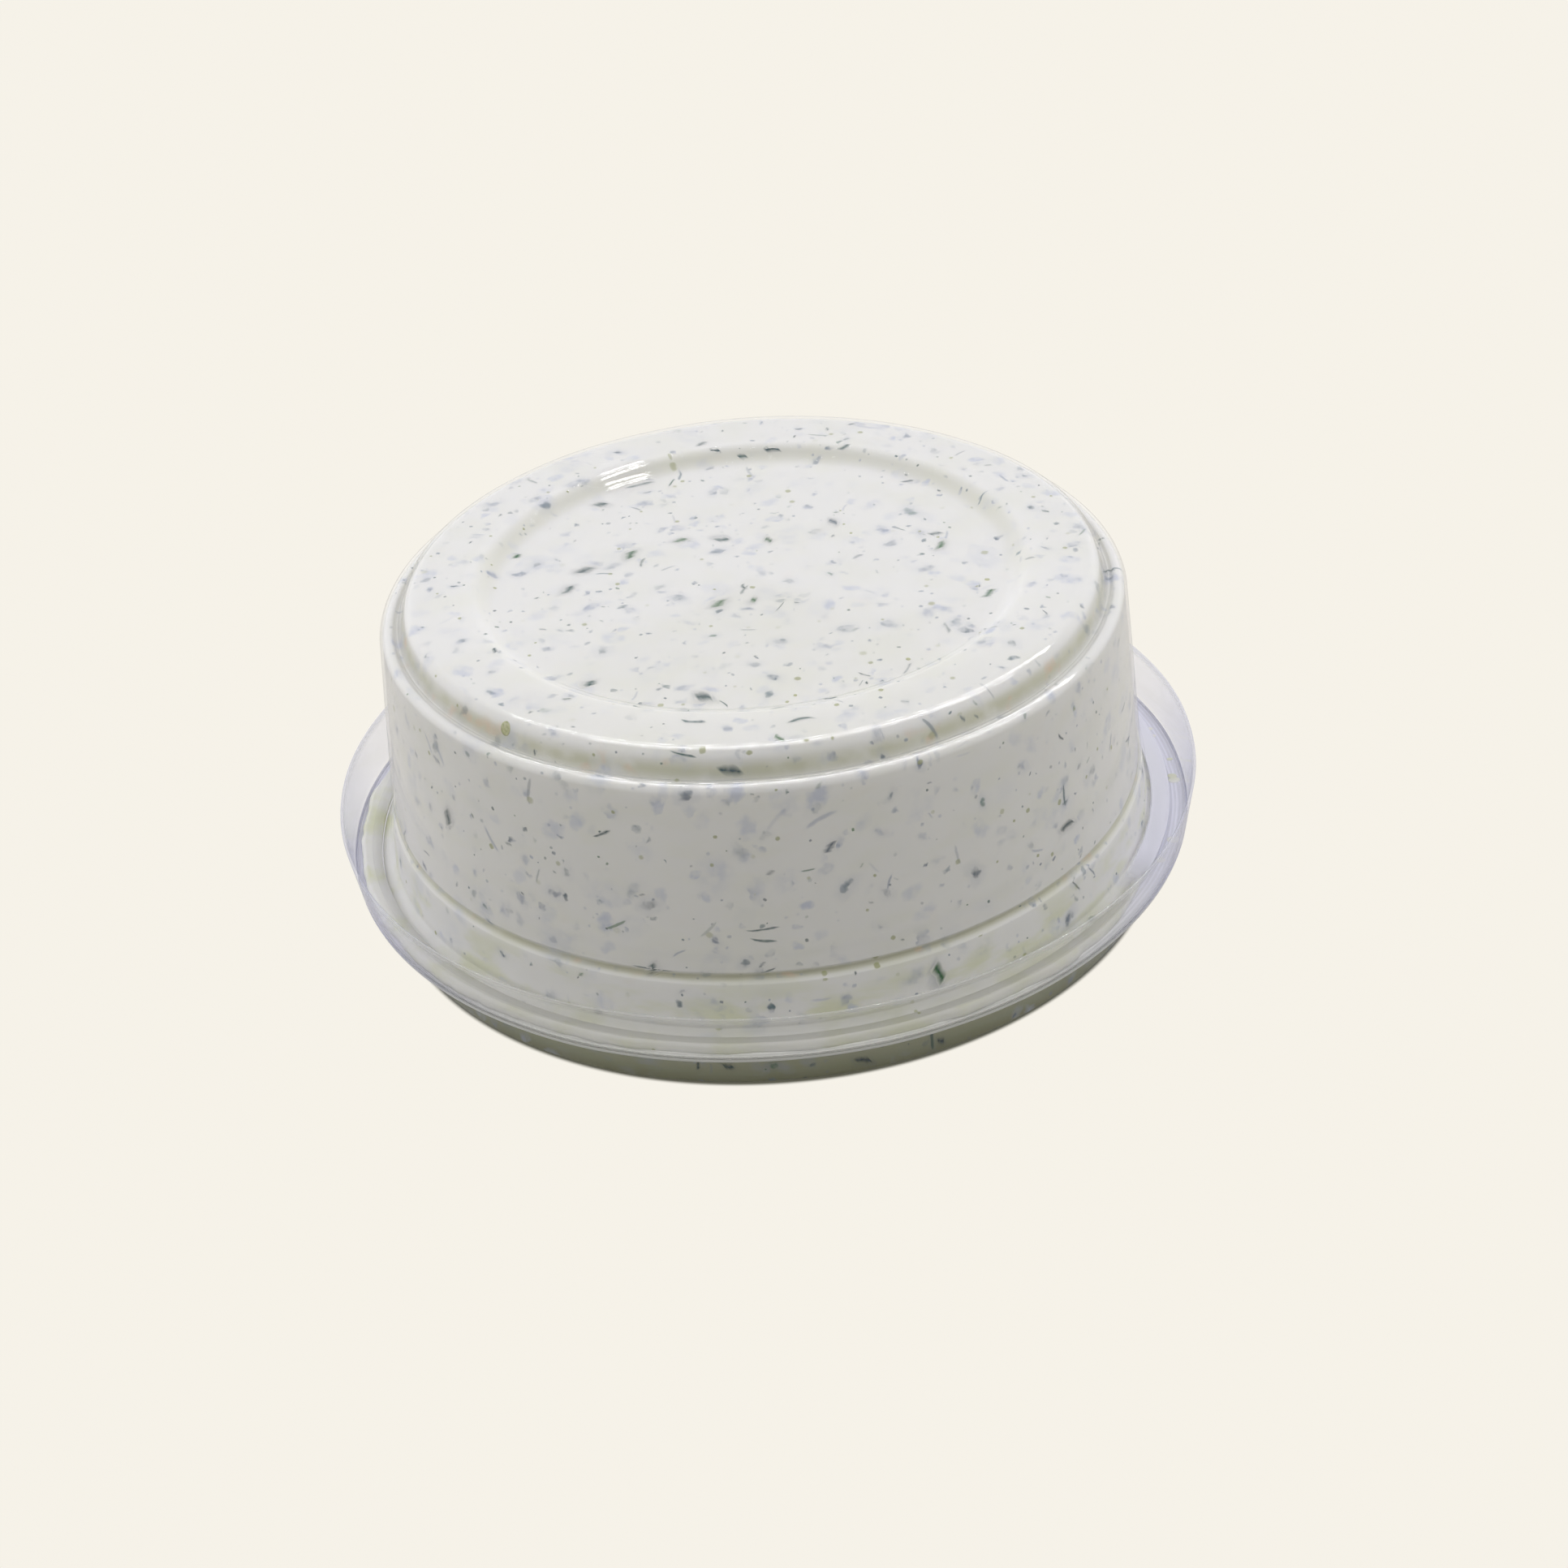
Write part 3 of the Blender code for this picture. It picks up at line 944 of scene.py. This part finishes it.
def crept_soap_mesh():
    """A thin ragged film between the tub's rim and the lid's flange, thicker outside the rim."""
    low = FLANGE_Z + SHEET + CLING
    high = RIM_Z - CLING
    inner = PANEL_TOP_R - 0.25 * MM
    points, faces = [], []
    for i in range(CREPT_STEPS + 1):
        share = i / CREPT_STEPS
        angle = CREPT_FROM + (CREPT_TO - CREPT_FROM) * share
        end = min(1.0, min(share, 1 - share) / 0.12) ** 0.5
        wave = noise.noise(Vector((math.cos(angle), math.sin(angle), 0)) * 9)
        wave += 0.5 * noise.noise(Vector((math.cos(angle), math.sin(angle), 3)) * 31)
        farther = CREPT_MORE * math.cos(angle) ** 2
        reach = (CREPT_R + farther - inner + wave * CREPT_WAVE) * end
        bulge = max(0.0, min(1.0, (inner + reach - RIM_R) / (0.3 * MM))) * CREPT_H
        outer = inner + max(reach, 0.1 * MM)
        lip = min(RIM_R + 0.1 * MM, outer - 0.05 * MM)
        section = (
            (inner, low),
            (inner, high),
            (lip, high),
            ((lip + outer) / 2, high + bulge),
            (outer - 0.05 * MM, (low + high) / 2 + bulge * 0.6),
            (outer, low),
        )
        points += [(r * math.cos(angle), r * math.sin(angle), z) for r, z in section]
    n = len(section)
    for i in range(CREPT_STEPS):
        a, b = i * n, (i + 1) * n
        faces += [(a + j, a + (j + 1) % n, b + (j + 1) % n, b + j) for j in range(n)]
    last = CREPT_STEPS * n
    faces += [tuple(range(n))[::-1], tuple(range(last, last + n))]
    mesh = bpy.data.meshes.new("crept_soap")
    mesh.from_pydata(points, [], faces)
    mesh.shade_smooth()
    return mesh


def make_crept_soap():
    """Soap on the lid's flange: the film round the front and left, and dabs on the right."""
    soap = soap_material("crept_soap", herbs=False)
    new_piece("crept_soap", crept_soap_mesh(), soap, "lid")
    flange = Skin([Vector((PANEL_TOP_R, FLANGE_Z + SHEET)), Vector((FLANGE_R, FLANGE_Z + SHEET))])
    rng = random.Random(5)
    spots = []
    for _ in range(7):
        r = rng.uniform(RIM_R + 0.3 * MM, FLANGE_R - 0.8 * MM)
        angle = math.radians(rng.gauss(-2, 9))
        spots.append((r - PANEL_TOP_R, angle, rng.uniform(0.5, 1.2) * MM))
    new_piece("soap_dabs", seed_mesh(flange, spots), soap, "lid")


# Stage.


def floor_material():
    """A pale floor that throws little light on the puck, as its colour near the puck is painted dark:
    painted shade. It is seen and mirrored in one plain tone, but for a painted shadow straight under
    the lid's panel: a darker disc, with a dark ring at its edge."""
    tree, finish = new_material("floor")
    radius = radius_of(tree, add(tree, "NewGeometry").outputs["Position"])
    # Painted shadow: a darker disc under the lid's panel, with a dark ring at its edge.
    outer = remap(tree, radius, PANEL_R + 0.2 * MM, PANEL_R - 0.4 * MM)
    under = times(tree, outer, remap(tree, radius, PANEL_R - 6 * MM, PANEL_R - 0.8 * MM, 0.12, 1.0))
    seen = add(tree, "Emission", {"Color": mixed(tree, under, BACKDROP, PAINTED_CONTACT_SHADOW)})
    # Painted shade: the floor that lights the puck is painted dark near it, paler farther out.
    shade = remap(tree, radius, SKIRT_R, SKIRT_R * 1.8)
    lit = add(tree, "BsdfDiffuse", {"Color": mixed(tree, shade, FLOOR_SHADE_NEAR, FLOOR_FAR)})
    path = add(tree, "LightPath").outputs
    direct = maths(tree, "MAXIMUM", path["Is Camera Ray"], path["Is Glossy Ray"])
    return finish(add(tree, "MixShader", {0: direct, 1: lit.outputs[0], 2: seen.outputs[0]}))


def make_floor():
    bpy.ops.mesh.primitive_plane_add(size=6.0, location=(0, 0, -0.07 * MM))
    floor = bpy.context.object
    floor.name = "floor"
    floor.data.materials.append(floor_material())
    floor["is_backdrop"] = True


def make_world():
    """Soft light from all sides, dimmer from the camera's side."""
    world = bpy.data.worlds.new("studio")
    bpy.context.scene.world = world
    world.use_nodes = True
    tree = world.node_tree
    tree.nodes.clear()
    way = add(tree, "SeparateXYZ", {0: add(tree, "TexCoord").outputs["Generated"]})
    level = remap(tree, way.outputs["Y"], -1.0, 1.0, LIGHT_FRONT, LIGHT_FAR, smooth=False)
    side = times(tree, maths(tree, "ABSOLUTE", way.outputs["X"]), LIGHT_SIDES)
    lift = times(tree, way.outputs["Z"], LIGHT_ABOVE)
    level = maths(tree, "ADD", level, maths(tree, "ADD", side, lift))
    paths = add(tree, "LightPath").outputs
    level = maths(tree, "ADD", level, times(tree, paths["Is Glossy Ray"], LIGHT_MIRRORED))
    sky = add(tree, "Background", {"Color": rgb((1.0, 0.995, 0.985)), "Strength": level})
    seen = add(tree, "Background", {"Color": rgb(BACKDROP)})
    both = add(tree, "MixShader", {0: paths["Is Camera Ray"], 1: sky.outputs[0], 2: seen.outputs[0]})
    tree.links.new(both.outputs[0], add(tree, "OutputWorld").inputs["Surface"])


def make_strip(name, start, end, lit_pieces):
    """A strip of small lamps from start to end, mirrored in the lit pieces only."""
    middle = (start + end) / 2
    data = bpy.data.lights.new(name, "AREA")
    data.shape = "RECTANGLE"
    data.size, data.size_y = (end - start).length, STRIP_WIDTH
    data.energy = STRIP_POWER
    lamp = bpy.data.objects.new(name, data)
    x = (end - start).normalized()
    z = (middle - x * middle.dot(x)).normalized()
    lamp.matrix_world = Matrix.Translation(middle) @ Matrix((x, z.cross(x), z)).transposed().to_4x4()
    data.use_nodes = True
    tree = data.node_tree
    tree.nodes.clear()
    place = vector(tree, "SUBTRACT", add(tree, "NewGeometry").outputs["Position"], tuple(start))
    along = times(tree, dot(tree, place, tuple(x)), 1 / (end - start).length)
    wave = maths(tree, "SINE", times(tree, along, math.tau * STRIP_LAMPS))
    level = remap(tree, wave, -0.1, 0.3, GAP_LEVEL, LAMP_LEVEL)
    lit = add(tree, "Emission", {"Strength": level})
    tree.links.new(lit.outputs[0], add(tree, "OutputLight").inputs["Surface"])
    lamp.visible_diffuse = False
    lamp.light_linking.receiver_collection = lit_pieces
    bpy.context.scene.collection.objects.link(lamp)


def make_strips():
    """Two long strips over the puck, seen as fine dashed highlights in the clear sheets."""
    sheets = bpy.data.collections.new("clear_sheets")
    for name in ("tub_shell", "lid_shell"):
        sheets.objects.link(bpy.data.objects[name])
    for i, lean in enumerate(STRIP_LEANS):
        y, z = STRIP_AWAY * math.sin(math.radians(lean)), STRIP_AWAY * math.cos(math.radians(lean))
        start, end = (Vector((x, y, z)) for x in STRIP_ENDS)
        make_strip(f"strip_{i}", start, end, sheets)


def make_camera():
    """The camera looks down at the puck from the front, rolled so that the right side is higher."""
    elevation = math.radians(32.75)
    roll = math.radians(-4.6)
    distance = 295.4 * MM
    aim = Vector((1.7, 0, 7.5)) * MM
    back = Vector((0, -math.cos(elevation), math.sin(elevation)))
    data = bpy.data.cameras.new("camera")
    data.lens = 63.34
    data.clip_start = 0.01
    camera = bpy.data.objects.new("camera", data)
    turn = (-back).to_track_quat("-Z", "Y").to_matrix() @ Matrix.Rotation(roll, 3, "Z")
    camera.matrix_world = Matrix.Translation(aim + back * distance) @ turn.to_4x4()
    bpy.context.scene.collection.objects.link(camera)
    bpy.context.scene.camera = camera


def write_sizes():
    """Works out the CAD box and the visual model's box, and does nothing further with them."""
    boxes = {"cad": CAD_BOX, "visual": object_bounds()}
    {k: [list(corner) for corner in v] for k, v in boxes.items()}


make_tub()
make_lid()
make_soap()
make_crept_soap()
make_floor()
make_world()
make_strips()
make_camera()
scene = bpy.context.scene
scene.view_settings.view_transform = "Standard"
scene.cycles.transparent_max_bounces = 24
write_sizes()
